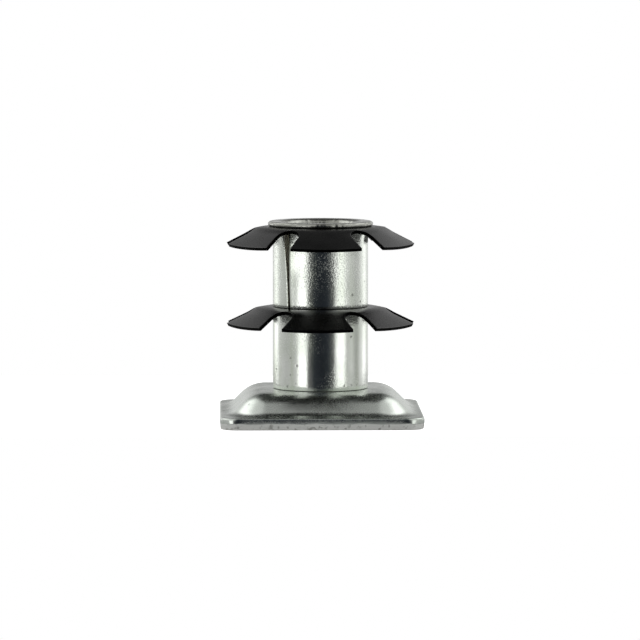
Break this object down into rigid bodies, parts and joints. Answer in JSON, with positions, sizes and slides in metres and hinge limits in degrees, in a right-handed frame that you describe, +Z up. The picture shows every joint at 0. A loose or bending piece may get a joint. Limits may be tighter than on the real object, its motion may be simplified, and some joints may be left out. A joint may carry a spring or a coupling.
{
  "type": "threaded caster insert",
  "caption": "Square tube end insert: pressed base plate, spacer sleeves and bent spring star grips stacked on a threaded barrel that takes a caster stem.",
  "frame": {"origin": "centre of the underside of the base plate, on the barrel axis", "axes": "+Z up along the barrel into the tube, -Y the front of the picture, X and Y along the plate edges"},
  "size_m": [0.0382, 0.0382, 0.0378],
  "materials": {
    "plate_zinc": "bright zinc plated pressed steel, sheared edge",
    "barrel_zinc": "zinc plated turned steel, flared end",
    "sleeve_zinc": "bright zinc plated rolled strip",
    "spring_black": "satin blackened spring steel"
  },
  "bodies": {
    "root": {"base_plate": "plate_zinc", "threaded_barrel": "barrel_zinc", "lower_sleeve": "sleeve_zinc", "lower_star": "spring_black", "upper_sleeve": "sleeve_zinc", "upper_star": "spring_black"}
  },
  "joints": []
}
